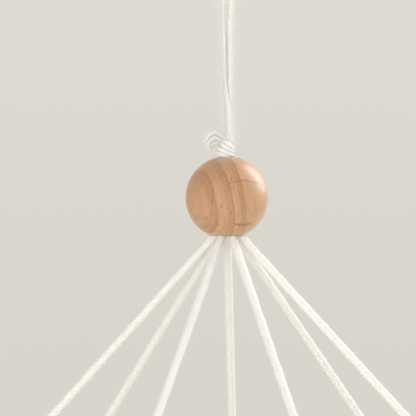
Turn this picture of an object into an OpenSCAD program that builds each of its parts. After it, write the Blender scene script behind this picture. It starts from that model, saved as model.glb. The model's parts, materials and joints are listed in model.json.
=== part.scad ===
// Crib mobile: a wooden hanging ring, a doubled wool cord, a beech crown bead with a fan of wool
// yarns, and a wooden hoop from which short strings of felt balls and beads hang.
// Millimetres, +Z up. The origin is the point inside the hanging ring where a hook bears.

/* [Hanging ring] */
// Thickness of the hanging ring's bar
ring_bar_d = 7; // [5:0.5:9]
// Clear opening of the hanging ring
ring_opening_d = 28; // [22:1:40]

/* [Hanging cord] */
// Thickness of one strand of the doubled hanging cord
cord_d = 1.5; // [1.2:0.1:2]
// Drop from the hanging ring's bar to the crown bead's centre
cord_drop = 84; // [75:1:160]
// Length of the loop round the hanging ring's bar
loop_len = 11; // [9:1:20]
// Diameter of the knot under the loop
cord_knot_d = 6; // [5:0.5:8]

/* [Crown] */
// Diameter of the crown bead
crown_d = 25; // [21:1:32]
// Width of the countersunk mouths of the crown bead
mouth_d = 10.2; // [8:0.2:11]
// Diameter of the knot on top of the crown bead
crown_knot_d = 8; // [6.5:0.5:10]
// Clear space between a spoke yarn and the rim of the crown bead's lower mouth
fan_gap = 0.3; // [0.2:0.1:1.2]

/* [Yarns] */
// Thickness of a spoke yarn or drop yarn
yarn_d = 2; // [1.5:0.1:2.4]

/* [Hoop] */
// Diameter of the hoop at the middle of its bar
hoop_d = 240; // [200:5:300]
// Thickness of the hoop's bar
hoop_bar_d = 10; // [6:1:14]
// Height of the fan's meeting point over the hoop
fan_height = 130; // [90:5:180]
// Width of each yarn wrap round the hoop
hitch_w = 6.4; // [4:0.2:10]

/* [Drops] */
// Length of the shortest drop, from its knot to the middle of its large ball
drop_short = 115; // [95:5:160]
// How much longer each next drop is, in a round of three
drop_step = 25; // [0:5:30]
// Diameter of the large felt balls
large_ball_d = 30; // [20:1:36]
// Diameter of the small felt balls
small_ball_d = 24; // [14:1:30]
// Diameter of the drop beads
drop_bead_d = 15; // [10:1:20]
// Diameter of the knots that start and end a drop
drop_knot_d = 6; // [4.5:0.5:8]

/* [Hidden] */
// Turn of each spoke round the crown, clockwise from the back, as the yarns are tied by hand
spoke_turns = [2, 47, 94, 158, 204, 260, 320];
spoke_count = len(spoke_turns);
SPOKES = [1 : spoke_count];

// Gaps and clearances
body_gap = 0.3; // between pieces that move apart
touch_gap = 0.05; // between pieces that rest on each other
bore_clearance = 0.15; // round a yarn, or a bundle of yarns, in a hole

// Heights of the main pieces
ring_r = (ring_opening_d + ring_bar_d) / 2;
bar_z = -ring_opening_d - ring_bar_d / 2;
cord_knot_z = bar_z - loop_len - cord_knot_d / 2;
crown_z = bar_z - cord_drop;

// Fan: its lines meet far enough over the bead's lower mouth for each yarn to clear the mouth's rim
crown_r = crown_d / 2;
mouth_r = mouth_d / 2;
mouth_z = sqrt(crown_r * crown_r - mouth_r * mouth_r);
hoop_r = hoop_d / 2;
fan_spread = hoop_r / fan_height;
yarn_reach = yarn_d / 2 * sqrt(1 + fan_spread * fan_spread);
fan_z = crown_z - mouth_z + (mouth_r - fan_gap - yarn_reach) / fan_spread;
hoop_z = fan_z - fan_height;
middle_yarn_drop = 1.8 * yarn_d; // how much lower than the fan's point the middle yarn turns out

// Crown: one yarn stands in the middle of the bore with six round it, under the knot
pack_r = yarn_d + touch_gap;
bore_r = pack_r + yarn_d / 2 + bore_clearance;
mouth_depth = mouth_r - bore_r;
knot_seat_z = crown_z + mouth_z - mouth_depth - touch_gap;
knot_rise = 0.36; // share of the knot's diameter from the bead's top up to the knot's middle
crown_knot_z = crown_z + crown_r + knot_rise * crown_knot_d;

// Hanging cord: the strands part a little towards the top, where they enter their knot
strand_in = (cord_d + touch_gap) / 2;
strand_out = 1.25;
strand_seat = sqrt(cord_knot_d * cord_knot_d / 4 - strand_out * strand_out);
cord_top = cord_knot_z - cord_knot_d / 2 - body_gap;
cord_bottom = crown_knot_z + crown_knot_d / 2 + body_gap;
loop_r = ring_bar_d / 2 + body_gap + cord_d / 2;
loop_foot_z = cord_knot_z + strand_seat + 2 * touch_gap;
loop_reach = norm([strand_out, bar_z - loop_foot_z]);
loop_lean = atan2(bar_z - loop_foot_z, strand_out) - acos(loop_r / loop_reach);

// Wraps round the hoop
hitch_in = hoop_bar_d / 2 + touch_gap;
hitch_out = hitch_in + yarn_d;
hitch_angle = 360 * hitch_w / (PI * hoop_d);

// Drops: heights run down from the middle of the drop's top knot
drop_knot_z = hoop_z - hitch_out - body_gap - drop_knot_d / 2;
yarn_hole_d = yarn_d + 2 * bore_clearance;
low_bead_up = rim(large_ball_d) + touch_gap + rim(drop_bead_d);
small_ball_up = low_bead_up + rim(drop_bead_d) + touch_gap + rim(small_ball_d);
top_bead_up = small_ball_up + rim(small_ball_d) + touch_gap + rim(drop_bead_d);
end_knot_down = rim(large_ball_d) + touch_gap + rim(drop_knot_d);

// Curves
smooth = 96;
cord_sides = 8;
bend_half = 2.6; // how far a spoke's bend reaches each side of its corner
bend_rings = 4;
loop_steps = 10;

// Colours
BEECH = [0.82, 0.66, 0.52];
PALE_WOOD = [0.86, 0.73, 0.58];
WOOL = [0.96, 0.95, 0.92];
FELTS = [[0.93, 0.9, 0.84], [0.76, 0.7, 0.6], [0.62, 0.6, 0.56]];

// Every spoke and drop has the same set of pieces, numbered clockwise from the back
EACH = ["spoke_yarn", "hitch", "drop_knot", "drop_yarn", "drop_balls", "drop_beads", "end_knot"];

// Height of the rim of a drop's yarn hole over the middle of a ball of diameter d
function rim(d) = sqrt(d * d - yarn_hole_d * yarn_hole_d) / 2;

// Length of drop k, from its knot to the middle of its large ball
function drop_len(k) = drop_short + drop_step * ((k - 1) % 3);

// Height of the middle of drop k's large ball
function low_ball_z(k) = drop_knot_z - drop_len(k);

// Direction from the axis to spoke k, seen from above
function spoke_way(turn) = [sin(turn), cos(turn), 0];

// A point on the curve that rounds the corner at b on the way from a to c
function rounded(a, b, c, t) = (1 - t) * (1 - t) * a + 2 * t * (1 - t) * b + t * t * c;

function unit(v) = v / norm(v);

// Direction of a route at its point i
function heading(route, i) =
    unit(route[min(i + 1, len(route) - 1)] - route[max(i - 1, 0)]);

// Ring of points round a route's point i
function yarn_ring(route, i, d, side) =
    let (
        along = heading(route, i),
        across = unit(cross(along, side)),
        other = cross(along, across)
    )
    [for (s = [0 : cord_sides - 1])
        route[i] + d / 2 * (cos(360 * s / cord_sides) * across + sin(360 * s / cord_sides) * other)];

// A cord or yarn of thickness d along a route; side is a direction that the route never runs in
module yarn(route, d, side) {
    last = len(route) - 1;
    corners = [for (i = [0 : last]) each yarn_ring(route, i, d, side)];
    walls = [for (i = [0 : last - 1], s = [0 : cord_sides - 1])
        let (next = (s + 1) % cord_sides, here = i * cord_sides, after = here + cord_sides)
        [here + s, here + next, after + next, after + s]];
    ends = [
        [for (s = [cord_sides - 1 : -1 : 0]) s],
        [for (s = [0 : cord_sides - 1]) last * cord_sides + s]
    ];
    polyhedron(points = corners, faces = concat(walls, ends), convexity = 4);
}

// A turned ball with a round hole down its middle
module bored_ball(d, hole_d) {
    difference() {
        sphere(d = d, $fn = smooth);
        cylinder(d = hole_d, h = d + 2, center = true, $fn = smooth);
    }
}

// Places a child on the hoop's circle at spoke k
module at_spoke(k, z) {
    translate(hoop_r * spoke_way(spoke_turns[k - 1]) + [0, 0, z]) children();
}

module hanging_ring() {
    color(PALE_WOOD)
    translate([0, 0, -ring_opening_d / 2]) rotate([0, 90, 0])
    rotate_extrude($fn = smooth) translate([ring_r, 0]) circle(d = ring_bar_d, $fn = smooth);
}

// The loop of cord round the hanging ring's bar, down to its knot
module cord_loop() {
    arch = [for (i = [0 : loop_steps])
        let (turn = -loop_lean + (180 + 2 * loop_lean) * i / loop_steps)
        [-loop_r * cos(turn), 0, bar_z + loop_r * sin(turn)]];
    feet = [for (way = [-1, 1]) [way * strand_out, 0, loop_foot_z]];
    color(WOOL) yarn(concat([feet[0]], arch, [feet[1]]), cord_d, [0, 1, 0]);
}

module cord_knot() {
    color(WOOL) translate([0, 0, cord_knot_z]) sphere(d = cord_knot_d, $fn = smooth);
}

// The two strands from the knot under the loop to the knot on the crown bead
module hanging_cord() {
    for (way = [-1, 1]) {
        color(WOOL)
        yarn([[way * strand_out, 0, cord_top], [way * strand_in, 0, cord_bottom]], cord_d, [0, 1, 0]);
    }
}

// The knot on the bead: a ball whose lower half fills the bead's top mouth
module crown_knot() {
    collar_r = mouth_r - 2 * touch_gap;
    collar_top_r = 0.6 * collar_r;
    collar_z = knot_seat_z + 2 * touch_gap;
    color(WOOL) union() {
        translate([0, 0, crown_knot_z]) sphere(d = crown_knot_d, $fn = smooth);
        translate([0, 0, collar_z])
        cylinder(r1 = bore_r - touch_gap, r2 = collar_r, h = mouth_depth, $fn = smooth);
        translate([0, 0, collar_z + mouth_depth])
        cylinder(r1 = collar_r, r2 = collar_top_r, h = crown_knot_z - collar_z - mouth_depth, $fn = smooth);
    }
}

// The crown bead, bored from top to bottom with a countersunk mouth at each end
module crown_bead() {
    color(BEECH) translate([0, 0, crown_z]) difference() {
        bored_ball(crown_d, 2 * bore_r);
        for (way = [0, 1]) mirror([0, 0, way])
            translate([0, 0, mouth_z - mouth_depth])
            cylinder(r1 = bore_r, r2 = bore_r + 2 * mouth_depth, h = 2 * mouth_depth, $fn = smooth);
    }
}

// A spoke yarn: down through the crown bead, round the bead's lower mouth and straight to the hoop.
// The first yarn stands in the middle of the bundle, so it turns out lower than the others.
function spoke_route(k) =
    let (
        way = spoke_way(spoke_turns[k - 1]),
        middle = k == 1,
        pack = middle ? [0, 0, 0] : pack_r * spoke_way(60 * (k - 2) + 30),
        corner_out = middle ? 0 : pack_r,
        corner_down = middle ? middle_yarn_drop : pack_r / fan_spread,
        corner = corner_out * way + [0, 0, fan_z - corner_down],
        hoop_centre = hoop_r * way + [0, 0, hoop_z],
        run = unit(hoop_centre - corner),
        bend_start = pack + [0, 0, corner.z + bend_half],
        bend_end = corner + run * bend_half
    )
    concat(
        [pack + [0, 0, knot_seat_z]],
        [for (i = [0 : bend_rings]) rounded(bend_start, corner, bend_end, i / bend_rings)],
        [hoop_centre - run * (hitch_out + 2 * touch_gap)]
    );

module spoke_yarn(k) {
    turn = spoke_turns[k - 1];
    color(WOOL) yarn(spoke_route(k), yarn_d, [cos(turn), -sin(turn), 0]);
}

module hoop() {
    color(PALE_WOOD) translate([0, 0, hoop_z])
    rotate_extrude($fn = 2 * smooth) translate([hoop_r, 0]) circle(d = hoop_bar_d, $fn = smooth);
}

// The wrap of yarn that grips the hoop's bar
module hitch(k) {
    color(WOOL) translate([0, 0, hoop_z]) rotate([0, 0, 90 - spoke_turns[k - 1] - hitch_angle / 2])
    rotate_extrude(angle = hitch_angle, $fn = 2 * smooth) translate([hoop_r, 0]) difference() {
        circle(r = hitch_out, $fn = smooth);
        circle(r = hitch_in, $fn = smooth);
    }
}

module drop_knot(k) {
    color(WOOL) at_spoke(k, drop_knot_z) sphere(d = drop_knot_d, $fn = smooth);
}

// The straight yarn of a drop, from under its top knot to its end knot
module drop_yarn(k) {
    top = drop_knot_z - drop_knot_d / 2 - body_gap;
    bottom = low_ball_z(k) - end_knot_down + drop_knot_d / 2 + touch_gap;
    color(WOOL) at_spoke(k, 0) yarn([[0, 0, top], [0, 0, bottom]], yarn_d, [0, 1, 0]);
}

// The felt balls of a drop: a small one above a large one
module drop_balls(k) {
    color(FELTS[(k - 1) % 3]) at_spoke(k, low_ball_z(k)) bored_ball(large_ball_d, yarn_hole_d);
    color(FELTS[k % 3]) at_spoke(k, low_ball_z(k) + small_ball_up) bored_ball(small_ball_d, yarn_hole_d);
}

// The wooden beads of a drop: one over each felt ball
module drop_beads(k) {
    color(BEECH) for (up = [low_bead_up, top_bead_up])
        at_spoke(k, low_ball_z(k) + up) bored_ball(drop_bead_d, yarn_hole_d);
}

// The knot under the large ball
module end_knot(k) {
    color(WOOL) at_spoke(k, low_ball_z(k) - end_knot_down) sphere(d = drop_knot_d, $fn = smooth);
}

hanging_ring();
cord_loop();
cord_knot();
hanging_cord();
crown_knot();
crown_bead();
hoop();
for (k = SPOKES) {
    spoke_yarn(k);
    hitch(k);
    drop_knot(k);
    drop_yarn(k);
    drop_balls(k);
    drop_beads(k);
    end_knot(k);
}
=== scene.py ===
import json
import math

import bmesh
import bpy
import numpy as np
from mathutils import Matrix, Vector, noise


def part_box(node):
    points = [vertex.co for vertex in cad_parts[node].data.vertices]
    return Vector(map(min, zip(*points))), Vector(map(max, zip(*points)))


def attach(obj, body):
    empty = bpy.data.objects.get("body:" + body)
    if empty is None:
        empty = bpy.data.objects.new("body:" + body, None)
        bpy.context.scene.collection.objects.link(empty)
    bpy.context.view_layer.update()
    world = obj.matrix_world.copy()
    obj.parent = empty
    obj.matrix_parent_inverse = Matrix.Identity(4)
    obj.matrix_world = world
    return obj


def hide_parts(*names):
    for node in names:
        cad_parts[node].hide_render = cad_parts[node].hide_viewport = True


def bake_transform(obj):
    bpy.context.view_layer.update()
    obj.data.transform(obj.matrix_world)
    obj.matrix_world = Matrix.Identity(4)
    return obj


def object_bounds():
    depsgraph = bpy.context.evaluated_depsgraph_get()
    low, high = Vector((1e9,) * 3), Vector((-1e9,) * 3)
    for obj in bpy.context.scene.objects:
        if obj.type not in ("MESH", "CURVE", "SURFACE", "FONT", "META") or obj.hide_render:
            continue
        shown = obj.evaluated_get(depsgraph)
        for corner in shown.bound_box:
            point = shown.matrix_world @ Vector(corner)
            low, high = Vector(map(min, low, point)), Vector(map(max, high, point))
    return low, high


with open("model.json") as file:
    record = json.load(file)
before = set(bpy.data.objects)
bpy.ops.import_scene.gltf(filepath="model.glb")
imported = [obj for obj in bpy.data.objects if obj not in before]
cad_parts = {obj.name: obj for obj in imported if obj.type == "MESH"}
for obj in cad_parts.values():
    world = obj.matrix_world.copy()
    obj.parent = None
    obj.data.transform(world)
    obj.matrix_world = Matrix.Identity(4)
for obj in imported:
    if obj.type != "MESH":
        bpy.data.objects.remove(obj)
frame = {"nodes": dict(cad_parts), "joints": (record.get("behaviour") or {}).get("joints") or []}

bl_info = {
    "name": "Crib Mobile",
    "version": (1, 0, 0),
    "blender": (4, 5, 0),
    "location": "View3D > Sidebar > Crib Mobile",
    "description": "Builds a hanging crib mobile of wool yarn, beech beads and felt balls",
    "category": "Add Mesh",
}

MM = 0.001
TURN = 2 * math.pi
UP = np.array([0.0, 0.0, 1.0])
CAD_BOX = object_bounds()
SPOKES = range(1, 1 + sum(node.startswith("spoke_yarn_") for node in frame["nodes"]))


# Places and sizes read from the frame


def corners(node):
    """The lowest and highest corners of a node's box, as arrays."""
    low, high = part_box(node)
    return np.array(low), np.array(high)


def middle(node):
    low, high = corners(node)
    return (low + high) / 2


def extent(node):
    low, high = corners(node)
    return high - low


def joint_named(name):
    return next(joint for joint in frame["joints"] if joint["name"] == name)


def spoke_way(k):
    """The level direction from the axis to spoke k."""
    return np.array(joint_named(f"drop_{k}_sideways")["axis"], float)


def drop_top(k):
    """The middle of drop k's top knot."""
    return np.array(joint_named(f"drop_{k}_sideways")["pos_m"], float)


def drop_axis(k):
    """The point of drop k's axis at the origin's height."""
    return drop_top(k) * np.array([1.0, 1.0, 0.0])


CROWN = middle("crown_bead")
CROWN_R = extent("crown_bead")[0] / 2
CROWN_KNOT = np.array([0, 0, corners("crown_knot")[1][2] - 4 * MM])
HOOP_BAR_R = extent("hoop")[2] / 2
HOOP_R = extent("hoop")[0] / 2 - HOOP_BAR_R
HOOP_Z = middle("hoop")[2]
RING_BAR_R = extent("hanging_ring")[0] / 2
RING_R = extent("hanging_ring")[1] / 2 - RING_BAR_R
RING = middle("hanging_ring")
LOOP_KNOT = middle("cord_knot")

# The crown bead's bore, and how the yarns pack in it and bend over its lower mouth
BORE_R = 3.2 * MM
PACK_R = 2.05 * MM
BEND_HALF = 2.6 * MM

# How far under the crown bead's middle the outer yarns' lines would meet on the axis, and how far under
# that the middle yarn bends out
FAN_DEPTH = 7.2 * MM
MIDDLE_YARN_DROP = 3.6 * MM
FAN_Z = CROWN[2] - FAN_DEPTH

# Half the gap between the hanging cord's strands at the upper knot
STRAND_OUT = 1.25 * MM

# Sizes of the drops that the nodes' boxes don't show
SMALL_BALL_R = 12 * MM
YARN_HOLE_R = 1.15 * MM

FELT_TONES = ("felt_ivory", "felt_oat", "felt_grey")

# How thick the short and the long loose fibres on yarn are, and how many long ones there are to a short
FUZZ_THICK = 0.034 * MM
STRAY_THICK = 0.036 * MM
STRAY_SHARE = 0.3


# Settings a user would change


def length_property(name, description, default):
    return bpy.props.FloatProperty(
        name=name, description=description, default=default, min=0.0, unit="LENGTH", subtype="DISTANCE"
    )


def colour_property(name, description, default):
    return bpy.props.FloatVectorProperty(
        name=name, description=description, default=default, min=0.0, max=1.0, size=3, subtype="COLOR"
    )


class CribMobileSizes(bpy.types.PropertyGroup):
    """Sizes of the soft and turned pieces."""

    spoke: length_property("Spoke yarn", "Thickness of a spoke yarn", 2.5 * MM)
    yarn: length_property("Drop yarn", "Thickness of a drop yarn or wrap", 2.1 * MM)
    cord: length_property("Cord", "Thickness of one strand of the hanging cord", 1.25 * MM)
    ply_pitch: length_property("Ply pitch", "Length of yarn in one turn of its plies", 5.0 * MM)
    fuzz: length_property("Fuzz", "Length of the short hairs on the yarn", 1.1 * MM)
    stray: length_property("Stray hairs", "Length of the longest hairs on the yarn", 4.0 * MM)
    rim: length_property("Rim round", "Rounding of a bead's rims", 0.5 * MM)
    lump: length_property("Lumps", "Height of the lumps on a felt ball", 0.5 * MM)
    growth_ring: length_property("Growth ring", "Width of one growth ring in the beech", 3.5 * MM)


class CribMobileColours(bpy.types.PropertyGroup):
    """Colours of the wood, wool and felt."""

    wool: colour_property("Wool", "Undyed wool yarn", (0.83, 0.828, 0.815))
    beech_light: colour_property("Beech, early wood", "Pale wood of a growth ring", (0.54, 0.325, 0.19))
    # The late-wood colour is also used for the painted shade on the bead's upper left
    beech_dark: colour_property("Beech, late wood", "Dark wood of a growth ring", (0.35, 0.17, 0.08))
    beech_fleck: colour_property("Beech flecks", "Short brown rays in the beech", (0.25, 0.105, 0.045))
    pale_light: colour_property("Pale wood", "Pale grain of the hoop and ring", (0.7, 0.52, 0.35))
    pale_dark: colour_property("Pale wood, dark grain", "Dark grain of the hoop and ring", (0.5, 0.33, 0.19))
    felt_ivory: colour_property("Ivory felt", "First felt colour", (0.8, 0.75, 0.65))
    felt_oat: colour_property("Oat felt", "Second felt colour", (0.5, 0.41, 0.29))
    felt_grey: colour_property("Grey felt", "Third felt colour", (0.3, 0.285, 0.25))
    backdrop: colour_property("Surroundings", "Pale colour round the object", (0.72, 0.692, 0.63))


def sizes():
    return bpy.context.scene.crib_mobile_sizes


def colours():
    return bpy.context.scene.crib_mobile_colours


# Shader maths


class Value:
    """A socket in a node tree, so that shader maths reads as arithmetic."""

    def __init__(self, tree, socket, outputs=None):
        self.tree, self.socket, self.outputs = tree, socket, outputs

    def node(self, kind, settings=None, sockets=None):
        """Adds a node: settings are set first, then each socket takes a number, a colour or a Value."""
        made = self.tree.nodes.new(kind)
        for key, setting in (settings or {}).items():
            if key == "stops":
                ramp = made.color_ramp
                while len(ramp.elements) < len(setting):
                    ramp.elements.new(1.0)
                for element, (place, colour) in zip(ramp.elements, setting):
                    element.position, element.color = place, colour
            else:
                setattr(made, key, setting)
        for key, value in (sockets or {}).items():
            if isinstance(value, Value):
                self.tree.links.new(value.socket, made.inputs[key])
            else:
                made.inputs[key].default_value = value
        shown = next((socket for socket in made.outputs if socket.enabled), None)
        return Value(self.tree, shown, made.outputs)

    def maths(self, operation, *numbers):
        return self.node("ShaderNodeMath", {"operation": operation}, dict(enumerate(numbers)))

    def out(self, name):
        return Value(self.tree, self.outputs[name], self.outputs)

    def __add__(self, other):
        return self.maths("ADD", self, other)

    def __radd__(self, other):
        return self.maths("ADD", other, self)

    def __sub__(self, other):
        return self.maths("SUBTRACT", self, other)

    def __rsub__(self, other):
        return self.maths("SUBTRACT", other, self)

    def __mul__(self, other):
        return self.maths("MULTIPLY", self, other)

    def __rmul__(self, other):
        return self.maths("MULTIPLY", other, self)

    def __truediv__(self, other):
        return self.maths("DIVIDE", self, other)

    def __pow__(self, other):
        return self.maths("POWER", self, other)

    def sine(self):
        return self.maths("SINE", self)

    def cosine(self):
        return self.maths("COSINE", self)

    def fraction(self):
        return self.maths("FRACT", self)

    def between(self, low, high):
        """0 below low, 1 above high, and smooth between them."""
        return self.node(
            "ShaderNodeMapRange",
            {"interpolation_type": "SMOOTHSTEP"},
            {"Value": self, "From Min": low, "From Max": high},
        )

    def mixed(self, first, second):
        """first where this value is 0 and second where it is 1, both colours."""
        first, second = [c if isinstance(c, Value) else (*c, 1.0) for c in (first, second)]
        made = self.node("ShaderNodeMix", {"data_type": "RGBA"}, {"Factor": self, 6: first, 7: second})
        return Value(self.tree, made.outputs[2], made.outputs)

    def parts(self):
        split = self.node("ShaderNodeSeparateXYZ", None, {0: self})
        return [split.out(name) for name in "XYZ"]

    def joined(self, x, y, z):
        return self.node("ShaderNodeCombineXYZ", None, {0: x, 1: y, 2: z})

    def bump(self, strength, distance):
        """The normal of a surface that has this height."""
        sockets = {"Strength": strength, "Distance": distance, "Height": self}
        return self.node("ShaderNodeBump", None, sockets)

    def spots(self, place, scale, detail=2.0, roughness=0.5, **more):
        """Noise at a place."""
        settings = {"noise_dimensions": "4D"} if "W" in more else None
        return self.node(
            "ShaderNodeTexNoise",
            settings,
            {"Vector": place, "Scale": scale, "Detail": detail, "Roughness": roughness, **more},
        )


def scaled(colour, share):
    return tuple(share * c for c in colour)


def new_material(name, **fixed):
    """A material with a Principled shader: returns it, its shader and a Value to build from."""
    material = bpy.data.materials.new(name)
    material.use_nodes = True
    tree = material.node_tree
    shader = tree.nodes["Principled BSDF"]
    for key, value in fixed.items():
        shader.inputs[key.replace("_", " ")].default_value = value
    return material, shader, Value(tree, None)


def feed(start, shader, **varying):
    """Links what changes over the surface to the shader's sockets."""
    for key, value in varying.items():
        start.tree.links.new(value.socket, shader.inputs[key.replace("_", " ")])


def object_place(start):
    return start.node("ShaderNodeTexCoord").out("Object")


def curved_mark(x, z, circle):
    """1 on a thin circle in the level-and-up plane, and 0 off it; the circle is in millimetres."""
    middle_x, middle_z, radius, half_width = (size * MM for size in circle)
    off_x, off_z = x - middle_x, z - middle_z
    off = (off_x * off_x + off_z * off_z) ** 0.5 - radius
    return 1 - off.maths("ABSOLUTE", off).between(0.4 * half_width, half_width)


def beech(name, centre, pith, along, first, wide, marked=False):
    """Turned beech: growth rings round a pith line through a point, with short upright pores.

    All sizes are from the bead's centre. Painted shade darkens the upper left and painted light fades the
    rings on the right.
    """
    paint = colours()
    material, shader, start = new_material(
        name, IOR=1.5, Coat_Weight=0.2, Coat_Roughness=0.35, Sheen_Weight=0.35, Sheen_Roughness=0.35
    )
    own = object_place(start).parts()
    x, y, z = [axis - float(at) for axis, at in zip(own, centre)]
    place = start.node(
        "ShaderNodeMapping",
        {"vector_type": "TEXTURE"},
        {
            "Vector": start.joined(x, y, z),
            "Location": tuple(float(v) for v in pith),
            "Rotation": tuple(Vector(along).to_track_quat("Z", "Y").to_euler()),
        },
    )
    across, up, _ = place.parts()
    wander = start.spots(start.joined(x, y, z * 0.4), 170.0, 3.0, 0.6) - 0.5
    away = (across * across + up * up) ** 0.5 + wander * (0.55 * wide)
    age = (first - away) / wide
    ring = age.fraction()
    shade = start.spots(start.joined(age.maths("FLOOR", age), 0.3, 0.7), 3.1, 0.0)
    late = ring.between(0.1, 0.97) * (1 - ring.between(0.965, 1.0)) * (0.3 + shade)
    minor = (age * 3.0 + wander * 2.0).fraction()
    late = late + minor.between(0.2, 0.9) * (1 - minor.between(0.9, 1.0)) * 0.28
    fibre = start.spots(start.joined(x, y, z * 0.045), 2300.0, 2.0, 0.6)
    streak = start.spots(start.joined(x, y, z * 0.1), 760.0, 2.0)
    pore = start.spots(start.joined(x, y, z * 0.16), 1250.0, 1.0).between(0.655, 0.73)
    # Painted shade: the wood darkens smoothly towards the upper left, the side turned away from the window
    # light
    upper_left_shade = (z * 0.7 - x * 0.75 + wander * (4 * MM)).between(-3 * MM, 14 * MM)
    # Painted light: the dark rings fade towards the right, where the window light falls
    lit_right_fade = 1 - x.between(2.5 * MM, 8 * MM) * 0.75
    wood = (late * lit_right_fade * 0.75).mixed(paint.beech_light, paint.beech_dark)
    wood = (streak.between(0.45, 0.8) * 0.4).mixed(wood, paint.beech_dark)
    wood = (fibre.between(0.5, 0.8) * 0.3).mixed(wood, paint.beech_fleck)
    wood = (upper_left_shade * 0.45).mixed(wood, paint.beech_dark)
    wood = (pore * 0.5).mixed(wood, paint.beech_fleck)
    if marked:
        line = curved_mark(x, z, UPPER_LINE) * z.between(3.6 * MM, 4.7 * MM)
        nick = curved_mark(x, z, LOWER_LINE) * (1 - z.between(-7.6 * MM, -7.1 * MM))
        front = 1 - y.between(-3 * MM, 0.0)
        wood = (line * front * 0.35).mixed(wood, paint.beech_fleck)
        wood = (nick * front * 0.65).mixed(wood, paint.beech_fleck)
    bump = (fibre * 0.6 - pore * 0.8).bump(0.2, 0.05 * MM)
    feed(start, shader, Base_Color=wood, Roughness=0.36 + fibre * 0.16, Normal=bump)
    return material


def ring_wood(name, centre, axis_turn):
    """Pale wood whose grain runs round a ring with its axis along Z after axis_turn."""
    paint = colours()
    material, shader, start = new_material(name, Roughness=0.45, IOR=1.45, Coat_Weight=0.12)
    place = start.node(
        "ShaderNodeMapping",
        {"vector_type": "TEXTURE"},
        {"Vector": object_place(start), "Location": tuple(centre), "Rotation": axis_turn},
    )
    x, y, z = place.parts()
    out = (x * x + y * y) ** 0.5
    along, side = x / out, y / out
    round_it = start.joined(along * 0.004, side * 0.004, out)
    broad = start.spots(round_it, 420.0, 2.0, W=z * 420.0)
    fine = start.spots(round_it, 2400.0, 3.0, 0.6, W=z * 2400.0)
    pore_place = start.joined(along * 0.03, side * 0.03, out)
    pores = start.spots(pore_place, 1900.0, 1.0, W=z * 1900.0).between(0.64, 0.72)
    wood = broad.between(0.35, 0.7).mixed(paint.pale_light, paint.pale_dark)
    wood = (fine.between(0.45, 0.75) * 0.35).mixed(wood, paint.pale_dark)
    wood = (pores * 0.4).mixed(wood, paint.beech_fleck)
    bump = (fine * 0.6 - pores * 0.8).bump(0.25, 0.08 * MM)
    feed(start, shader, Base_Color=wood, Roughness=0.38 + fine * 0.16, Normal=bump)
    return material


# Light that passes through wool
GLOW = {"Subsurface_Weight": 0.5, "Subsurface_Radius": (1.0, 1.0, 1.0), "Subsurface_Scale": 0.0012}


def plied_wool(name):
    """Spun wool: fibres run along each ply, on the map that yarn_mesh lays along the yarn."""
    paint = colours()
    material, shader, start = new_material(
        name, Roughness=0.9, Sheen_Weight=0.3, Sheen_Roughness=0.5, Specular_IOR_Level=0.2, **GLOW
    )
    around, along, _ = start.node("ShaderNodeUVMap", {"uv_map": "Yarn"}).parts()
    turn = around * TURN
    place = start.joined(turn.cosine(), turn.sine(), along * 260.0)
    fibres = start.spots(place, 7.0, 4.0, 0.65)
    tufts = start.spots(start.joined(turn.cosine(), turn.sine(), along * 900.0), 1.6, 3.0)
    cloth = fibres.between(0.3, 0.62).mixed(scaled(paint.wool, 0.93), paint.wool)
    bump = (fibres * 0.7 + tufts * 0.5).bump(0.3, 0.2 * MM)
    feed(start, shader, Base_Color=cloth, Normal=bump)
    return material


def hair(name, colour):
    """Loose single fibres of wool."""
    material, _, _ = new_material(
        name, Base_Color=(*colour, 1.0), Roughness=0.9, Sheen_Weight=0.3, Specular_IOR_Level=0.1, **GLOW
    )
    return material


def felt(name, colour):
    """Wet-felted wool: matted fibres in mottled tones."""
    material, shader, start = new_material(
        name, Roughness=0.95, Sheen_Weight=0.5, Sheen_Roughness=0.5, Specular_IOR_Level=0.15
    )
    place = object_place(start)
    bent = start.spots(place, 240.0, 2.0)
    x, y, z = place.parts()
    swirl = bent * 0.01
    strands = start.spots(start.joined(x + swirl, y * 0.3, z - swirl), 1500.0, 4.0, 0.7)
    cross = start.spots(start.joined(x * 0.3, y + swirl, z + swirl), 1300.0, 4.0, 0.7)
    mat = strands * 0.5 + cross * 0.5
    patches = start.spots(place, 90.0, 2.0).between(0.35, 0.7)
    pale = tuple(1.18 * c + 0.02 for c in colour)
    cloth = mat.between(0.38, 0.6).mixed(scaled(colour, 0.72), colour)
    cloth = (patches * 0.35).mixed(cloth, pale)
    bump = (mat + bent * 0.4).bump(0.8, 0.4 * MM)
    feed(start, shader, Base_Color=cloth, Normal=bump)
    return material


# The pith line that the crown bead's growth rings run round, and the radius of a ring, in millimetres
# from the bead's centre
PITH = (9.07, 28.82, 0.0)
PITH_WAY = (3.16, -4.6, 1.0)
FIRST_RING = 33.4

# The curved lines on the crown bead's front, in millimetres from its centre: the circle's middle sideways
# and up, its radius, and half the line's width
UPPER_LINE = (4.8, -4.7, 10.0, 0.45)
LOWER_LINE = (4.4, -4.5, 3.6, 0.5)

MADE = {}


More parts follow.
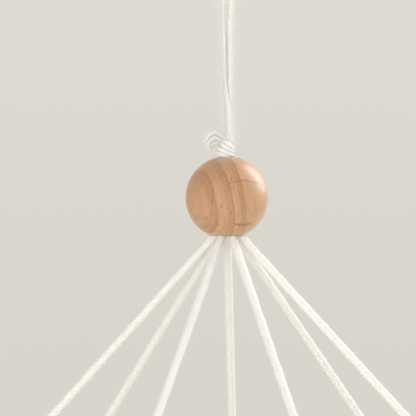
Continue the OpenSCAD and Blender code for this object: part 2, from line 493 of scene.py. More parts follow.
def finish(name):
    """The material of that name, made once."""
    if name in MADE:
        return MADE[name]
    paint = colours()
    makers = {
        "crown_beech": lambda: beech(
            name, CROWN, np.array(PITH) * MM, PITH_WAY, FIRST_RING * MM, sizes().growth_ring,
            marked=True,
        ),
        "drop_beech": lambda: beech(
            name, (0, 0, 0), (0.03, 0.05, 0.0), (0.1, 0.15, 1.0), 0.0, 0.7 * sizes().growth_ring
        ),
        "hoop_wood": lambda: ring_wood(name, (0, 0, HOOP_Z), (0, 0, 0)),
        "ring_wood": lambda: ring_wood(name, RING, (0, math.pi / 2, 0)),
        "wool": lambda: plied_wool(name),
        # Painted light: the loose hairs take a brighter copy of the wool colour, standing in for light that
        # glows through them
        "wool_hair": lambda: hair(name, scaled(paint.wool, 1.16)),
    }
    for tone in FELT_TONES:
        makers[tone] = lambda: felt(name, getattr(paint, name))
        makers[tone + "_hair"] = lambda: hair(name, getattr(paint, name.removesuffix("_hair")))
    MADE[name] = makers[name]()
    return MADE[name]


# Mesh building


def add_piece(name, points, faces, material, smooth=True):
    """A mesh object from points in the row frame."""
    mesh = bpy.data.meshes.new(name)
    mesh.from_pydata([tuple(p) for p in points], [], [tuple(f) for f in faces])
    mesh.materials.append(finish(material))
    mesh.polygons.foreach_set("use_smooth", [smooth] * len(mesh.polygons))
    mesh.update()
    piece = bpy.data.objects.new(name, mesh)
    bpy.context.scene.collection.objects.link(piece)
    return piece


def unit(vectors):
    return vectors / np.linalg.norm(vectors, axis=-1, keepdims=True)


def even_route(route, step):
    """The route's points laid again at even steps, with their distance along it."""
    route = np.asarray(route, float)
    along = np.concatenate([[0.0], np.cumsum(np.linalg.norm(np.diff(route, axis=0), axis=1))])
    at = np.linspace(0.0, along[-1], max(3, int(round(along[-1] / step)) + 1))
    return np.stack([np.interp(at, along, route[:, i]) for i in range(3)], axis=1), at


def smooth_route(knots, steps=12):
    """A smooth curve through given points."""
    knots = np.asarray(knots, float)
    ends = np.concatenate([[2 * knots[0] - knots[1]], knots, [2 * knots[-1] - knots[-2]]])
    out = []
    for a, b, c, d in zip(ends, ends[1:], ends[2:], ends[3:]):
        for t in np.arange(steps) / steps:
            out.append(
                0.5 * (2 * b + (c - a) * t + (2 * a - 5 * b + 4 * c - d) * t * t
                       + (3 * b - a - 3 * c + d) * t ** 3)
            )
    return np.array(out + [knots[-1]])


def frames_along(route):
    """Directions along and across a route, turned as little as possible from point to point."""
    along = unit(np.gradient(route, axis=0))
    start = np.cross(along[0], [0.3, 0.9, 0.2])
    across = [start / np.linalg.norm(start)]
    for direction in along[1:]:
        side = across[-1] - direction * np.dot(across[-1], direction)
        across.append(side / np.linalg.norm(side))
    across = np.array(across)
    return along, across, np.cross(along, across)


def ply_outline(angle, plies):
    """How far a plied yarn's surface is from its middle, as a share of its radius."""
    round_share = 0.86
    inset = 1.0 - round_share
    part = TURN / plies
    off = (angle + part / 2) % part - part / 2
    return inset * np.cos(off) + np.sqrt(round_share ** 2 - (inset * np.sin(off)) ** 2)


def ripple(along, wave, seed):
    """A smooth uneven curve between about -1 and 1 along a length."""
    rng = np.random.default_rng(seed)
    total = np.zeros_like(along)
    for share, stretch in ((0.5, 1.0), (0.3, 0.43), (0.2, 0.21)):
        total += share * np.sin(TURN * (along / (wave * stretch) + rng.random()))
    return total


def yarn_mesh(route, diameter, plies=3, pitch=None, seed=1, taper=0.0, uneven=0.06, step=0.45 * MM):
    """Points and faces of a plied yarn along a route, its ring centres, and what lay_map needs."""
    pitch = pitch or sizes().ply_pitch
    centres, at = even_route(route, step)
    along, across, other = frames_along(centres)
    sides = 6 * plies
    angle = TURN * np.arange(sides) / sides
    shape = ply_outline(angle, plies)
    thick = diameter / 2 * (1 + uneven * ripple(at, 9 * MM, seed))
    if taper:
        left = np.clip((at[-1] - at) / taper, 0.0, 1.0)
        thick = thick * (0.3 + 0.7 * np.sqrt(left))
    spin = TURN * at / pitch + seed
    turn = angle[None, :] + spin[:, None]
    reach = thick[:, None] * shape[None, :]
    points = (
        centres[:, None, :]
        + (reach * np.cos(turn))[..., None] * across[:, None, :]
        + (reach * np.sin(turn))[..., None] * other[:, None, :]
    ).reshape(-1, 3)
    rows = len(centres)
    index = np.arange(rows * sides).reshape(rows, sides)
    nxt = np.roll(index, -1, axis=1)
    walls = np.stack([index[:-1], nxt[:-1], nxt[1:], index[1:]], axis=-1).reshape(-1, 4)
    first, last = len(points), len(points) + 1
    points = np.concatenate([points, centres[:1], centres[-1:]])
    caps = [(first, nxt[0, j], index[0, j]) for j in range(sides)]
    caps += [(last, index[-1, j], nxt[-1, j]) for j in range(sides)]
    faces = [tuple(face) for face in walls] + caps
    return points, faces, centres, (at, sides)


def lay_map(piece, laid):
    """Maps a yarn's surface: round it in x and along it, in metres, in y."""
    at, sides = laid
    mesh = piece.data
    corner = np.zeros(len(mesh.loops), np.int64)
    mesh.loops.foreach_get("vertex_index", corner)
    row, column = np.divmod(corner, sides)
    inside = row < len(at)
    u = np.where(inside, column / sides, 0.0)
    v = np.where(inside, at[np.minimum(row, len(at) - 1)], 0.0)
    layer = mesh.uv_layers.new(name="Yarn")
    layer.data.foreach_set("uv", np.stack([u, v], axis=1).astype(np.float32).ravel())


def add_yarn(name, route, diameter, material="wool", **how):
    points, faces, centres, laid = yarn_mesh(route, diameter, **how)
    piece = add_piece(name, points, faces, material)
    lay_map(piece, laid)
    return piece, centres


def hair_mesh(roots, outward, forward, lengths, width, rng, rings=3, curl=0.8):
    """Fine closed hairs that stand on roots, lean forward and curl; one row of points per hair."""
    count = len(roots)
    lean = rng.normal(0.0, 1.0, (count, 3))
    start = unit(outward + forward * rng.uniform(-1.3, 1.3, (count, 1)) + 0.35 * lean)
    bend = unit(rng.normal(0.0, 1.0, (count, 3)))
    bend = bend - start * np.sum(bend * start, axis=1, keepdims=True)
    twirl = np.cross(start, bend)
    share = np.linspace(0.0, 1.0, rings + 1)
    reach = lengths[:, None, None]
    arc = reach * curl * rng.uniform(0.2, 1.0, (count, 1, 1))
    sway = reach * 0.4 * curl * rng.uniform(-1.0, 1.0, (count, 1, 1))
    spine = (
        roots[:, None, :]
        + reach * share[None, :, None] * start[:, None, :]
        + arc * (share ** 2)[None, :, None] * bend[:, None, :]
        + sway * (share ** 3)[None, :, None] * twirl[:, None, :]
    )
    side = unit(np.cross(start, [0.31, 0.52, 0.79]))
    other = np.cross(start, side)
    thin = width / 2 * (1.0 - 0.75 * share[:-1])
    angle = TURN * np.arange(3) / 3
    body = (
        spine[:, :-1, None, :]
        + thin[None, :, None, None] * np.cos(angle)[None, None, :, None] * side[:, None, None, :]
        + thin[None, :, None, None] * np.sin(angle)[None, None, :, None] * other[:, None, None, :]
    ).reshape(count, rings * 3, 3)
    points = np.concatenate([body, spine[:, -1:, :]], axis=1).reshape(-1, 3)
    pattern = []
    for ring in range(rings - 1):
        for j in range(3):
            a, b = ring * 3 + j, ring * 3 + (j + 1) % 3
            pattern += [(a, b, b + 3), (a, b + 3, a + 3)]
    top = (rings - 1) * 3
    pattern += [(top + j, top + (j + 1) % 3, rings * 3) for j in range(3)] + [(2, 1, 0)]
    first = np.arange(count) * (rings * 3 + 1)
    return points, (np.array(pattern)[None] + first[:, None, None]).reshape(-1, 3)


def yarn_hairs(name, centres, diameter, per_mm, length, seed, stray=0.0, material="wool_hair"):
    """Short fuzz and, where stray isn't 0, a few longer hairs along a yarn, as one piece."""
    rng = np.random.default_rng(seed)
    along, across, other = frames_along(centres)
    metres = np.linalg.norm(np.diff(centres, axis=0), axis=1).sum()
    groups = [(int(metres / MM * per_mm), length, FUZZ_THICK)]
    if stray:
        groups.append((int(metres / MM * per_mm * STRAY_SHARE), sizes().stray * stray, STRAY_THICK))
    parts = []
    for count, longest, width in groups:
        where = rng.uniform(0.0, len(centres) - 1.001, count)
        low = where.astype(int)
        share = (where - low)[:, None]
        middle_point = centres[low] * (1 - share) + centres[low + 1] * share
        turn = rng.uniform(0.0, TURN, count)[:, None]
        outward = np.cos(turn) * across[low] + np.sin(turn) * other[low]
        lengths = longest * rng.uniform(0.35, 1.0, count)
        roots = middle_point + outward * diameter * 0.36
        parts.append(hair_mesh(roots, outward, along[low], lengths, width, rng))
    return join_hairs(name, parts, material)


def join_hairs(name, parts, material):
    points, faces, base = [], [], 0
    for some_points, some_faces in parts:
        points.append(some_points)
        faces.append(some_faces + base)
        base += len(some_points)
    return add_piece(name, np.concatenate(points), np.concatenate(faces), material)


def lathe(profile, centre, segments):
    """Points and faces of a closed outline turned round a vertical line through centre."""
    profile = np.asarray(profile, float)
    count = len(profile)
    points, faces = [], []
    for s in range(segments):
        turn = TURN * s / segments
        for out, up in profile:
            points.append(centre + np.array([out * math.cos(turn), out * math.sin(turn), up]))
        after = (s + 1) % segments
        for i in range(count):
            j = (i + 1) % count
            faces.append((s * count + i, after * count + i, after * count + j, s * count + j))
    return points, faces


def mouth_outline(radius, hole, mouth, rim):
    """The rounded rim of a bead's upper mouth, from the ball's edge in to the hole's wall."""
    top = math.sqrt(radius ** 2 - mouth ** 2)
    flare = [(mouth - rim * 0.5, top + rim * 0.05), (mouth - rim, top - rim * 0.25)]
    throat = [
        (hole + (mouth - rim - hole) * 0.4, top - rim * 1.2),
        (hole, top - 2.2 * rim - (mouth - hole) * 0.3),
    ]
    return flare + throat


def bead_outline(radius, hole, upper_mouth, lower_mouth, rim, steps):
    """Outline of half a bored bead: the ball, a rounded rim at each mouth, and the hole's wall."""
    low, high = -math.acos(lower_mouth / radius), math.acos(upper_mouth / radius)
    ball = [(radius * math.cos(a), radius * math.sin(a)) for a in np.linspace(low, high, steps)]
    upper = mouth_outline(radius, hole, upper_mouth, rim)
    lower = [(out, -up) for out, up in reversed(mouth_outline(radius, hole, lower_mouth, rim))]
    wall = [(hole, up) for up in np.linspace(upper[-1][1], lower[0][1], 8)[1:-1]]
    return ball + upper + wall + lower


def add_bead(name, centre, radius, hole, mouths, material, segments=96, steps=56):
    outline = bead_outline(radius, hole, *mouths, sizes().rim, steps)
    points, faces = lathe(outline, centre, segments)
    return add_piece(name, points, faces, material)


def add_ring(name, centre, radius, bar, first, second, material, segments, sides):
    """A round ring in the plane of the directions first and second, turned true but a little uneven."""
    normal = np.cross(first, second)
    points, faces = [], []
    for s in range(segments):
        turn = TURN * s / segments
        out = math.cos(turn) * first + math.sin(turn) * second
        thick = bar * (1 + 0.012 * math.sin(3 * turn + 1.0) + 0.008 * math.sin(7 * turn))
        for j in range(sides):
            angle = TURN * j / sides
            points.append(
                centre + out * (radius + thick * math.cos(angle)) + normal * thick * math.sin(angle)
            )
    for s in range(segments):
        for j in range(sides):
            k = (j + 1) % sides
            after = (s + 1) % segments
            faces.append((s * sides + j, after * sides + j, after * sides + k, s * sides + k))
    return add_piece(name, points, faces, material)


def overhand(centre, out, tall, turn):
    """The route of an overhand knot that stands on a vertical cord, its ends drawn in to the cord."""
    t = np.linspace(-2.03, 2.03, 90)
    x, y, z = (t ** 3 - 3 * t) / 2, (t ** 4 - 4 * t ** 2 + 2) / 2, (t ** 5 - 10 * t) / 9.5
    inward = 1 - np.clip((np.abs(t) - 1.78) / 0.24, 0, 1)
    x, y = x * inward * out, y * inward * out
    spin = np.array([[math.cos(turn), -math.sin(turn)], [math.sin(turn), math.cos(turn)]])
    level = spin @ np.stack([x, y])
    return centre + np.stack([level[0], level[1], z * tall], axis=1)


# Pieces


def spoke_route(k):
    """Down through the crown bead, round its lower mouth and straight to the hoop."""
    way = spoke_way(k)
    pack_turn = math.radians(60 * (k - 2) + 30)
    pack = PACK_R * np.array([math.sin(pack_turn), math.cos(pack_turn), 0.0])
    corner_out, corner_down = PACK_R, PACK_R * (FAN_Z - HOOP_Z) / HOOP_R
    if k == 1:
        pack, corner_out, corner_down = np.zeros(3), 0.0, MIDDLE_YARN_DROP
    corner = corner_out * way + UP * (FAN_Z - corner_down)
    hoop_middle = HOOP_R * way + UP * HOOP_Z
    run = unit(hoop_middle - corner)
    top = pack + UP * corners(f"spoke_yarn_{k}")[1][2]
    bend_start, bend_end = pack + UP * (corner[2] + BEND_HALF), corner + run * BEND_HALF
    bend = [
        (1 - t) ** 2 * bend_start + 2 * t * (1 - t) * corner + t * t * bend_end
        for t in np.linspace(0.0, 1.0, 9)
    ]
    end = hoop_middle - run * (HOOP_BAR_R + 1.2 * MM)
    return [top, *bend, end]


def hair_rate(full):
    return full


def carry(pieces, body):
    """Gives the pieces the body that they ride on."""
    for piece in pieces:
        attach(piece, body)


class Piece(bpy.types.Operator):
    """Base of the operators that make pieces."""

    bl_options = {"REGISTER", "UNDO"}

    def execute(self, context):
        self.make()
        return {"FINISHED"}


class CRIBMOBILE_OT_stage(Piece):
    """Sets the camera, the soft studio lights, the pale surroundings and the floor"""

    bl_idname = "crib_mobile.stage"
    bl_label = "Stage"

    frame_width = 125.0 * MM
    distance = 0.75
    sensor = 36.0
    elevation = math.radians(1.5)
    aim_off = np.array([-5.71, 0.0, -3.15]) * MM

    def make(self):
        self.add_camera()
        self.add_floor()
        self.add_lights()
        self.add_surroundings()

    def add_camera(self):
        data = bpy.data.cameras.new("camera")
        data.sensor_width = self.sensor
        data.lens = self.sensor * self.distance / self.frame_width
        data.clip_start, data.clip_end = 0.01, 50.0
        camera = bpy.data.objects.new("camera", data)
        bpy.context.scene.collection.objects.link(camera)
        aim = CROWN + self.aim_off
        back = np.array([0.0, -math.cos(self.elevation), math.sin(self.elevation)])
        camera.location = Vector(aim + self.distance * back)
        camera.rotation_euler = Vector(-back).to_track_quat("-Z", "Y").to_euler()
        bpy.context.scene.camera = camera

    def add_floor(self):
        radius, below = 1.1, 0.1
        top = CAD_BOX[0][2] - below
        core = 0.1 * MM
        outline = [(core, 0.0), (radius * 0.97, 0.0), (radius, -0.006), (radius, -0.02), (core, -0.02)]
        points, faces = lathe(outline, np.array([0.0, 0.0, top]), 128)
        add_piece("floor", points, faces, self.floor_finish(), smooth=False)

    def floor_finish(self):
        material, shader, start = new_material("floor_paint", Roughness=0.75)
        cloud = start.spots(object_place(start), 6.0, 3.0)
        backdrop = colours().backdrop
        paint = cloud.between(0.3, 0.7).mixed(scaled(backdrop, 0.98), scaled(backdrop, 1.06))
        feed(start, shader, Base_Color=paint)
        MADE["floor_paint"] = material
        return "floor_paint"

    def add_lights(self):
        # name, place from the crown bead, width, height, power, colour
        lamps = [
            ("window", (0.88, 0.56, 0.64), 0.72, 1.0, 15.0, (1.0, 0.99, 0.975)),
            ("front_fill", (-0.35, -1.35, -0.1), 0.5, 0.5, 10.0, (1.0, 0.99, 0.98)),
        ]
        for name, place, width, height, power, colour in lamps:
            data = bpy.data.lights.new(name, "AREA")
            data.shape, data.size, data.size_y = "RECTANGLE", width, height
            data.energy, data.color = power, colour
            lamp = bpy.data.objects.new(name, data)
            bpy.context.scene.collection.objects.link(lamp)
            lamp.location = Vector(CROWN + np.array(place))
            lamp.rotation_euler = (-Vector(place)).to_track_quat("-Z", "Y").to_euler()
            lamp.visible_camera = False
            lamp.visible_glossy = name == "window"

    def add_surroundings(self):
        scene = bpy.context.scene
        scene.view_settings.view_transform = "Standard"
        world = bpy.data.worlds.new("surroundings")
        world.use_nodes = True
        scene.world = world
        start = Value(world.node_tree, None)
        _, _, up = start.node("ShaderNodeTexCoord").out("Generated").parts()
        backdrop = colours().backdrop
        sky = up.between(-0.12, 0.12).mixed(scaled(backdrop, 0.955), scaled(backdrop, 1.035))
        # Light from below, as a pale room throws back
        sky = (0.0 - up).between(0.15, 0.6).mixed(sky, scaled(backdrop, 1.55))
        background = world.node_tree.nodes["Background"]
        world.node_tree.links.new(sky.socket, background.inputs["Color"])


class CRIBMOBILE_OT_hanging_cord(Piece):
    """Makes the doubled hanging cord, the loop round the ring and the knot under it"""

    bl_idname = "crib_mobile.hanging_cord"
    bl_label = "Hanging cord"

    def make(self):
        self.add_strands()
        self.add_loop()

    def add_strands(self):
        size = sizes()
        top = LOOP_KNOT[2] - 1.0 * MM
        for way, seed in ((-1, 11), (1, 12)):
            # height over the crown knot, sideways and to the back, in millimetres
            places = [(1.6, 0.1, 0.45), (8, 0.1, 0.55), (13, 0.16, 0.5), (19, 0.52, 0.2), (27, 0.68, 0.05)]
            places += [(35, 0.78, 0.0), (44, 1.12, 0.0), (51, 1.3, 0.0)]
            lean = [0.8, 0.5, 0.3, 0.1, 0.0, -0.1, -0.1, 0.0]
            route = smooth_route([
                CROWN_KNOT + np.array([way * out + shift, way * back, up]) * MM
                for (up, out, back), shift in zip(places, lean)
            ] + [np.array([way * STRAND_OUT, 0.0, top])])[::-1]
            name = f"cord_strand_{seed - 10}"
            strand, centres = add_yarn(
                name, route, size.cord, plies=2, pitch=3.6 * MM, seed=seed, uneven=0.12, step=0.3 * MM
            )
            hairs = yarn_hairs(
                name + "_fuzz", centres, size.cord, hair_rate(60), size.fuzz * 1.5, seed + 20, stray=1.4
            )
            for piece in (strand, hairs):
                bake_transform(piece)
        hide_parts("hanging_cord")

    def add_loop(self):
        size = sizes()
        low, high = corners("cord_loop")
        bar = np.array([0.0, 0.0, RING[2] - RING_R])
        reach = high[0] - size.cord / 2
        lean = math.radians(18)
        arch = [
            bar + reach * np.array([-math.cos(a), 0.0, math.sin(a)])
            for a in np.linspace(-lean, math.pi + lean, 32)
        ]
        feet = [np.array([way * STRAND_OUT * 0.7, 0.0, LOOP_KNOT[2] + 0.5 * MM]) for way in (-1, 1)]
        loop, centres = add_yarn(
            "cord_loop_yarn", [feet[0], *arch, feet[1]], size.cord, plies=2, pitch=3.6 * MM, seed=15,
            step=0.3 * MM,
        )
        hairs = yarn_hairs("cord_loop_fuzz", centres, size.cord, hair_rate(16), size.fuzz, 35, stray=0.7)
        knot_route = overhand(LOOP_KNOT, 1.55 * MM, 1.75 * MM, 0.6)
        knot, knot_centres = add_yarn(
            "cord_knot_yarn", knot_route, size.cord * 1.15, plies=2, seed=16, step=0.3 * MM
        )
        knot_hairs = yarn_hairs("cord_knot_fuzz", knot_centres, size.cord, hair_rate(14), size.fuzz, 36)
        carry((loop, hairs, knot, knot_hairs), "loop")
        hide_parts("cord_loop")
        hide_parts("cord_knot")


class CRIBMOBILE_OT_spoke_yarns(Piece):
    """Makes the yarns that fan from the crown bead to the hoop"""

    bl_idname = "crib_mobile.spoke_yarns"
    bl_label = "Spoke yarns"

    def make(self):
        size = sizes()
        for k in SPOKES:
            route = spoke_route(k)
            yarn, centres = add_yarn(f"spoke_{k}", route, size.spoke, seed=40 + k, uneven=0.09)
            bare = centres[centres[:, 2] < CROWN[2] - CROWN_R + 1.5 * MM]
            hairs = yarn_hairs(
                f"spoke_{k}_fuzz", bare, size.spoke, hair_rate(44), size.fuzz * 1.1, 60 + k, stray=0.4
            )
            carry((yarn, hairs), "crown")
            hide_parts(f"spoke_yarn_{k}")


class CRIBMOBILE_OT_drop_yarns(Piece):
    """Makes the yarn of each drop"""

    bl_idname = "crib_mobile.drop_yarns"
    bl_label = "Drop yarns"

    def make(self):
        size = sizes()
        for k in SPOKES:
            top = drop_top(k)
            end = middle(f"end_knot_{k}")
            route = [top - UP * 1.0 * MM, end + UP * 0.5 * MM]
            yarn, centres = add_yarn(f"drop_{k}_yarn", route, size.yarn, seed=80 + k, uneven=0.07)
            clear = corners(f"drop_beads_{k}")[1][2]
            bare = centres[centres[:, 2] > clear]
            hairs = yarn_hairs(
                f"drop_{k}_fuzz", bare, size.yarn, hair_rate(11), size.fuzz, 100 + k, stray=0.5
            )
            carry((yarn, hairs), f"drop_{k}")
            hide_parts(f"drop_yarn_{k}")


class CRIBMOBILE_OT_crown_knot(Piece):
    """Makes the overhand knot on the crown bead, with its fluffy cut tails"""

    bl_idname = "crib_mobile.crown_knot"
    bl_label = "Crown knot"

    # All in millimetres from the knot's middle
    # Wraps from the top down: middle (x, y, z), radius, and lean to the right in degrees
    wraps = (
        ((0.3, 0.0, 1.2), 1.25, 44),
        ((0.05, 0.0, 0.15), 1.6, 40),
        ((-0.4, 0.0, -1.1), 1.9, 35),
        ((-0.55, 0.0, -2.45), 2.05, 26),
        ((-0.45, 0.0, -3.6), 1.7, 16),
    )
    # The yarn inside the wraps, from the top down
    core = ((0, 0, 3.4), (0.1, 0, 1.5), (-0.3, 0, -1.5), (-0.3, 0, -4.9))
    # Cut ends, from inside the knot outwards
    tails = (
        ((0.2, -0.6, 1.2), (-1.5, -1.0, 2.9), (-3.4, -1.2, 4.0), (-5.3, -1.1, 3.2), (-6.9, -0.9, 1.0)),
        ((-0.4, -0.9, 0.6), (-2.0, -1.3, 2.0), (-3.7, -1.6, 2.6), (-5.2, -1.5, 1.5), (-6.2, -1.3, -0.5)),
        ((-0.6, -0.4, 0.0), (-2.0, -0.5, 0.9), (-3.5, -0.6, 1.0), (-4.8, -0.6, 0.0), (-5.6, -0.5, -1.8)),
    )

    def make(self):
        size = sizes()
        knot, centres = add_yarn(
            "crown_knot_wraps", self.wrap_route(), size.cord * 1.28, plies=2, pitch=5.2 * MM, seed=21,
            uneven=0.1, step=0.25 * MM,
        )
        core, _ = add_yarn(
            "crown_knot_core", smooth_route(CROWN_KNOT + np.array(self.core) * MM), size.cord * 1.9,
            plies=3, seed=23, taper=1.5 * MM, step=0.3 * MM,
        )
        hairs = yarn_hairs("crown_knot_fuzz", centres, size.cord, hair_rate(38), size.fuzz, 31, stray=0.4)
        pieces = [knot, core, hairs, *self.add_tails()]
        carry(pieces, "crown")
        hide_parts("crown_knot")

    def wrap_route(self):
        """Round the cord and down, wrap by wrap; the left of each wrap stands higher than its right."""
        steps = 10
        points = []
        for n, (middle_point, radius, lean) in enumerate(self.wraps):
            after = self.wraps[min(n + 1, len(self.wraps) - 1)]
            for i in range(steps):
                share = i / steps
                centre = np.array(middle_point) * (1 - share) + np.array(after[0]) * share
                wide = radius * (1 - share) + after[1] * share
                slope = math.tan(math.radians(lean * (1 - share) + after[2] * share)) * 0.75
                turn = math.radians(100) + TURN * share
                out = wide * np.array([math.cos(turn), math.sin(turn), 0.0])
                out[2] = -slope * out[0]
                points.append(CROWN_KNOT + (centre + out) * MM)
        start = CROWN_KNOT + np.array([0.1, 0.2, 2.2]) * MM
        end = CROWN_KNOT + np.array([-0.2, 0.2, -4.0]) * MM
        return smooth_route([start, *points, end], steps=6)

    def add_tails(self):
        size = sizes()
        pieces = []
        for n, curl in enumerate(self.tails, 1):
            route = smooth_route(CROWN_KNOT + np.array(curl) * MM)
            tail, centres = add_yarn(
                f"crown_knot_tail_{n}", route, size.cord * 0.9, plies=2, pitch=4.4 * MM, seed=24 + n,
                uneven=0.16, taper=4 * MM, step=0.25 * MM,
            )
            hairs = yarn_hairs(
                f"crown_knot_tail_fuzz_{n}", centres, size.cord * 1.2, hair_rate(60), size.fuzz * 1.4,
                54 + n, stray=0.4,
            )
            pieces += [tail, hairs]
        return pieces


class CRIBMOBILE_OT_hitches(Piece):
    """Makes the wraps of yarn that grip the hoop, and the knots at both ends of each drop"""

    bl_idname = "crib_mobile.hitches"
    bl_label = "Hitches and drop knots"

    turns = 3

    def make(self):
        for k in SPOKES:
            self.add_hitch(k)
            self.add_knot(f"drop_knot_{k}", drop_top(k), f"drop_knot_{k}", 130 + k, 0.3 + k)
            self.add_knot(f"end_knot_{k}", middle(f"end_knot_{k}"), f"drop_{k}", 150 + k, 1.7 * k)

    def add_hitch(self, k):
        size = sizes()
        way = spoke_way(k)
        round_bar = np.cross(UP, way)
        centre = HOOP_R * way + UP * HOOP_Z
        reach = HOOP_BAR_R + size.yarn * 0.5
        width = extent_along(f"hitch_{k}", round_bar, centre)
        share = np.linspace(0.0, 1.0, 28 * self.turns)
        turn = math.radians(130) + TURN * self.turns * share
        across = (share - 0.5) * (width - size.yarn)
        coil = centre + (
            across[:, None] * round_bar
            + reach * (np.cos(turn)[:, None] * way + np.sin(turn)[:, None] * UP)
        )
        cinch_turn = math.radians(135)
        out = math.cos(cinch_turn) * way + math.sin(cinch_turn) * UP
        bridge = smooth_route([
            centre + round_bar * s * width * 0.62 + out * (reach + lift * size.yarn)
            for s, lift in ((-1.0, -0.35), (-0.75, 0.35), (0.0, 0.72), (0.75, 0.35), (1.0, -0.35))
        ])
        wrap, centres = add_yarn(f"hitch_{k}_wrap", coil, size.yarn, seed=170 + k, step=0.5 * MM)
        cinch, _ = add_yarn(f"hitch_{k}_cinch", bridge, size.yarn, seed=180 + k, step=0.5 * MM)
        hairs = yarn_hairs(f"hitch_{k}_fuzz", centres, size.yarn, hair_rate(6), size.fuzz * 0.8, 190 + k)
        carry((wrap, cinch, hairs), "crown")
        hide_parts(f"hitch_{k}")

    def add_knot(self, node, centre, body, seed, turn):
        size = sizes()
        route = overhand(centre, 1.75 * MM, 2.05 * MM, turn)
        knot, centres = add_yarn(node + "_yarn", route, size.yarn * 0.92, seed=seed, step=0.35 * MM)
        hairs = yarn_hairs(node + "_fuzz", centres, size.yarn, hair_rate(9), size.fuzz * 0.9, seed + 300)
        carry((knot, hairs), body)
        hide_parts(node)


def extent_along(node, direction, centre):
    """How wide a node is along a level direction."""
    mesh = frame["nodes"][node].data
    points = np.zeros(len(mesh.vertices) * 3)
    mesh.vertices.foreach_get("co", points)
    reach = (points.reshape(-1, 3) - centre) @ direction
    return float(reach.max() - reach.min())


class CRIBMOBILE_OT_crown_bead(Piece):
    """Makes the bored beech bead that gathers the yarns"""

    bl_idname = "crib_mobile.crown_bead"
    bl_label = "Crown bead"

    mouths = (3.7 * MM, 4.7 * MM)

    def make(self):
        bead = add_bead(
            "crown_bead_turned", CROWN, CROWN_R, BORE_R, self.mouths, "crown_beech", segments=160, steps=100
        )
        carry((bead,), "crown")
        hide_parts("crown_bead")


class CRIBMOBILE_OT_wooden_rings(Piece):
    """Makes the hanging ring and the hoop"""

    bl_idname = "crib_mobile.wooden_rings"
    bl_label = "Hanging ring and hoop"

    def make(self):
        level, back = np.array([1.0, 0.0, 0.0]), np.array([0.0, 1.0, 0.0])
        hoop = add_ring(
            "hoop_turned", UP * HOOP_Z, HOOP_R, HOOP_BAR_R, level, back, "hoop_wood", 320, 32
        )
        ring = add_ring("hanging_ring_turned", RING, RING_R, RING_BAR_R, back, UP, "ring_wood", 128, 32)
        for piece, body, node in ((hoop, "crown", "hoop"), (ring, "ring", "hanging_ring")):
            carry((piece,), body)
            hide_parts(node)


class CRIBMOBILE_OT_felt_balls(Piece):
    """Makes the felt balls of the drops"""

    bl_idname = "crib_mobile.felt_balls"
    bl_label = "Felt balls"

    def make(self):
        for k in SPOKES:
            large, small = ball_places(k)
            made = [
                self.add_ball(f"felt_large_{k}", *large, FELT_TONES[(k - 1) % 3], 200 + k),
                self.add_ball(f"felt_small_{k}", *small, FELT_TONES[k % 3], 220 + k),
            ]
            for ball, hairs, tone in made:
                carry((ball, hairs), f"drop_{k}")
            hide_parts(f"drop_balls_{k}")

    def add_ball(self, name, centre, radius, tone, seed):
        mesh = bmesh.new()
        bmesh.ops.create_icosphere(mesh, subdivisions=5, radius=1.0)
        lump, shift = sizes().lump, Vector((seed * 0.37, seed * 0.11, seed * 0.73))
        dimple_wide, dimple_deep = 2.6 * MM, 1.3 * MM
        for vertex in mesh.verts:
            way = vertex.co.normalized()
            broad = noise.noise(way * 1.6 + shift)
            small = noise.noise(way * 5.0 + shift)
            fine = noise.noise(way * 16.0 + shift)
            from_hole = math.hypot(way.x, way.y) * radius / dimple_wide
            dent = dimple_deep * math.exp(-from_hole ** 2)
            far = radius - 0.6 * lump + lump * (0.9 * broad + 0.35 * small + 0.14 * fine) - dent
            vertex.co = Vector(centre) + way * far
        points = [vertex.co.copy() for vertex in mesh.verts]
        faces = [[vertex.index for vertex in face.verts] for face in mesh.faces]
        mesh.free()
        ball = add_piece(name, points, faces, tone)
        return ball, self.add_fuzz(name, centre, radius, tone, seed), tone

    def add_fuzz(self, name, centre, radius, tone, seed):
        rng = np.random.default_rng(seed)
        count = int(hair_rate(900) * (radius / (15 * MM)) ** 2)
        outward = unit(rng.normal(0.0, 1.0, (count, 3)))
        sideways = unit(np.cross(outward, rng.normal(0.0, 1.0, (count, 3))))
        lengths = 1.6 * MM * rng.uniform(0.3, 1.0, count)
        roots = centre + outward * (radius - 0.9 * MM)
        part = hair_mesh(roots, outward, sideways, lengths, 0.04 * MM, rng)
        return join_hairs(name + "_fuzz", [part], tone + "_hair")


def ball_places(k):
    """Middle and radius of drop k's large and small felt balls, from the nodes' boxes."""
    low, high = corners(f"drop_balls_{k}")
    large_r = (high[0] - low[0]) / 2
    into_knot = 0.35 * MM
    large = drop_axis(k) + UP * (corners(f"end_knot_{k}")[1][2] + large_r - into_knot)
    small = drop_axis(k) + UP * (high[2] - math.sqrt(SMALL_BALL_R ** 2 - YARN_HOLE_R ** 2))
    return (large, large_r), (small, SMALL_BALL_R)


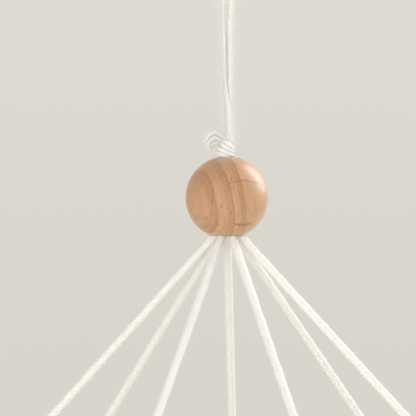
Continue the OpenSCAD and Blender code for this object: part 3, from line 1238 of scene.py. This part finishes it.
class CRIBMOBILE_OT_drop_beads(Piece):
    """Makes the beech beads of the drops"""

    bl_idname = "crib_mobile.drop_beads"
    bl_label = "Drop beads"

    def make(self):
        for k in SPOKES:
            low, high = corners(f"drop_beads_{k}")
            radius = (high[0] - low[0]) / 2
            seat = math.sqrt(radius ** 2 - YARN_HOLE_R ** 2)
            mouths = 2 * [YARN_HOLE_R + 0.7 * MM]
            for place, z in (("low", low[2] + seat), ("top", high[2] - seat)):
                bead = add_bead(
                    f"bead_{place}_{k}", drop_axis(k) + UP * z, radius, YARN_HOLE_R, mouths,
                    "drop_beech", segments=64, steps=36,
                )
                carry((bead,), f"drop_{k}")
                if place == "low":
                    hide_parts(f"drop_beads_{k}")


class CRIBMOBILE_PT_panel(bpy.types.Panel):
    """Lists the pieces of the crib mobile and its settings"""

    bl_idname = "CRIBMOBILE_PT_panel"
    bl_label = "Crib Mobile"
    bl_space_type = "VIEW_3D"
    bl_region_type = "UI"
    bl_category = "Crib Mobile"

    def draw(self, context):
        for operator in OPERATORS:
            self.layout.operator(operator.bl_idname)
        for group in (context.scene.crib_mobile_sizes, context.scene.crib_mobile_colours):
            box = self.layout.box()
            for name in group.bl_rna.properties.keys():
                if name not in ("rna_type", "name"):
                    box.prop(group, name)


OPERATORS = (
    CRIBMOBILE_OT_stage,
    CRIBMOBILE_OT_hanging_cord,
    CRIBMOBILE_OT_spoke_yarns,
    CRIBMOBILE_OT_drop_yarns,
    CRIBMOBILE_OT_crown_knot,
    CRIBMOBILE_OT_hitches,
    CRIBMOBILE_OT_crown_bead,
    CRIBMOBILE_OT_wooden_rings,
    CRIBMOBILE_OT_felt_balls,
    CRIBMOBILE_OT_drop_beads,
)
CLASSES = (CribMobileSizes, CribMobileColours, *OPERATORS, CRIBMOBILE_PT_panel)


def register():
    for cls in CLASSES:
        bpy.utils.register_class(cls)
    bpy.types.Scene.crib_mobile_sizes = bpy.props.PointerProperty(type=CribMobileSizes)
    bpy.types.Scene.crib_mobile_colours = bpy.props.PointerProperty(type=CribMobileColours)


def unregister():
    del bpy.types.Scene.crib_mobile_colours
    del bpy.types.Scene.crib_mobile_sizes
    for cls in reversed(CLASSES):
        bpy.utils.unregister_class(cls)


def main():
    register()
    for operator in OPERATORS:
        group, name = operator.bl_idname.split(".")
        getattr(getattr(bpy.ops, group), name)()


if __name__ == "__main__":
    main()
